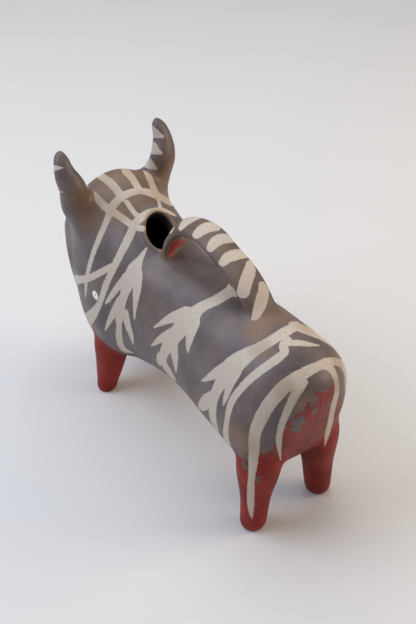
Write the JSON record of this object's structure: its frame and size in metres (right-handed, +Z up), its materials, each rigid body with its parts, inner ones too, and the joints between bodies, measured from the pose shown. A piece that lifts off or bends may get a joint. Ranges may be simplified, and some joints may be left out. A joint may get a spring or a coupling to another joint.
{
  "type": "bull-shaped pottery vessel",
  "caption": "Hollow burnished pottery vessel in the shape of a standing bull, with a pouring mouth behind the neck and a strap handle over the back.",
  "frame": {"origin": "on the ground under the middle of the vessel's bounding box", "axes": "+Z up; the bull faces -Y, so +Y runs from head to rump and +X points to the bull's left"},
  "size_m": [0.0684, 0.1974, 0.1411],
  "materials": {
    "grey_brown_slip": "satin",
    "warm_brown_slip": "satin",
    "red_slip": "satin",
    "cream_slip": "satin"
  },
  "bodies": {
    "root": {"body_left_half": "grey_brown_slip", "body_right_half": "grey_brown_slip", "mouth_lip": "grey_brown_slip", "handle": "warm_brown_slip", "rear_left_leg": "red_slip", "front_left_leg": "red_slip", "left_horn": "grey_brown_slip", "left_eye": "cream_slip", "rear_right_leg": "red_slip", "front_right_leg": "red_slip", "right_horn": "grey_brown_slip", "right_eye": "cream_slip", "muzzle": "grey_brown_slip"}
  },
  "joints": []
}
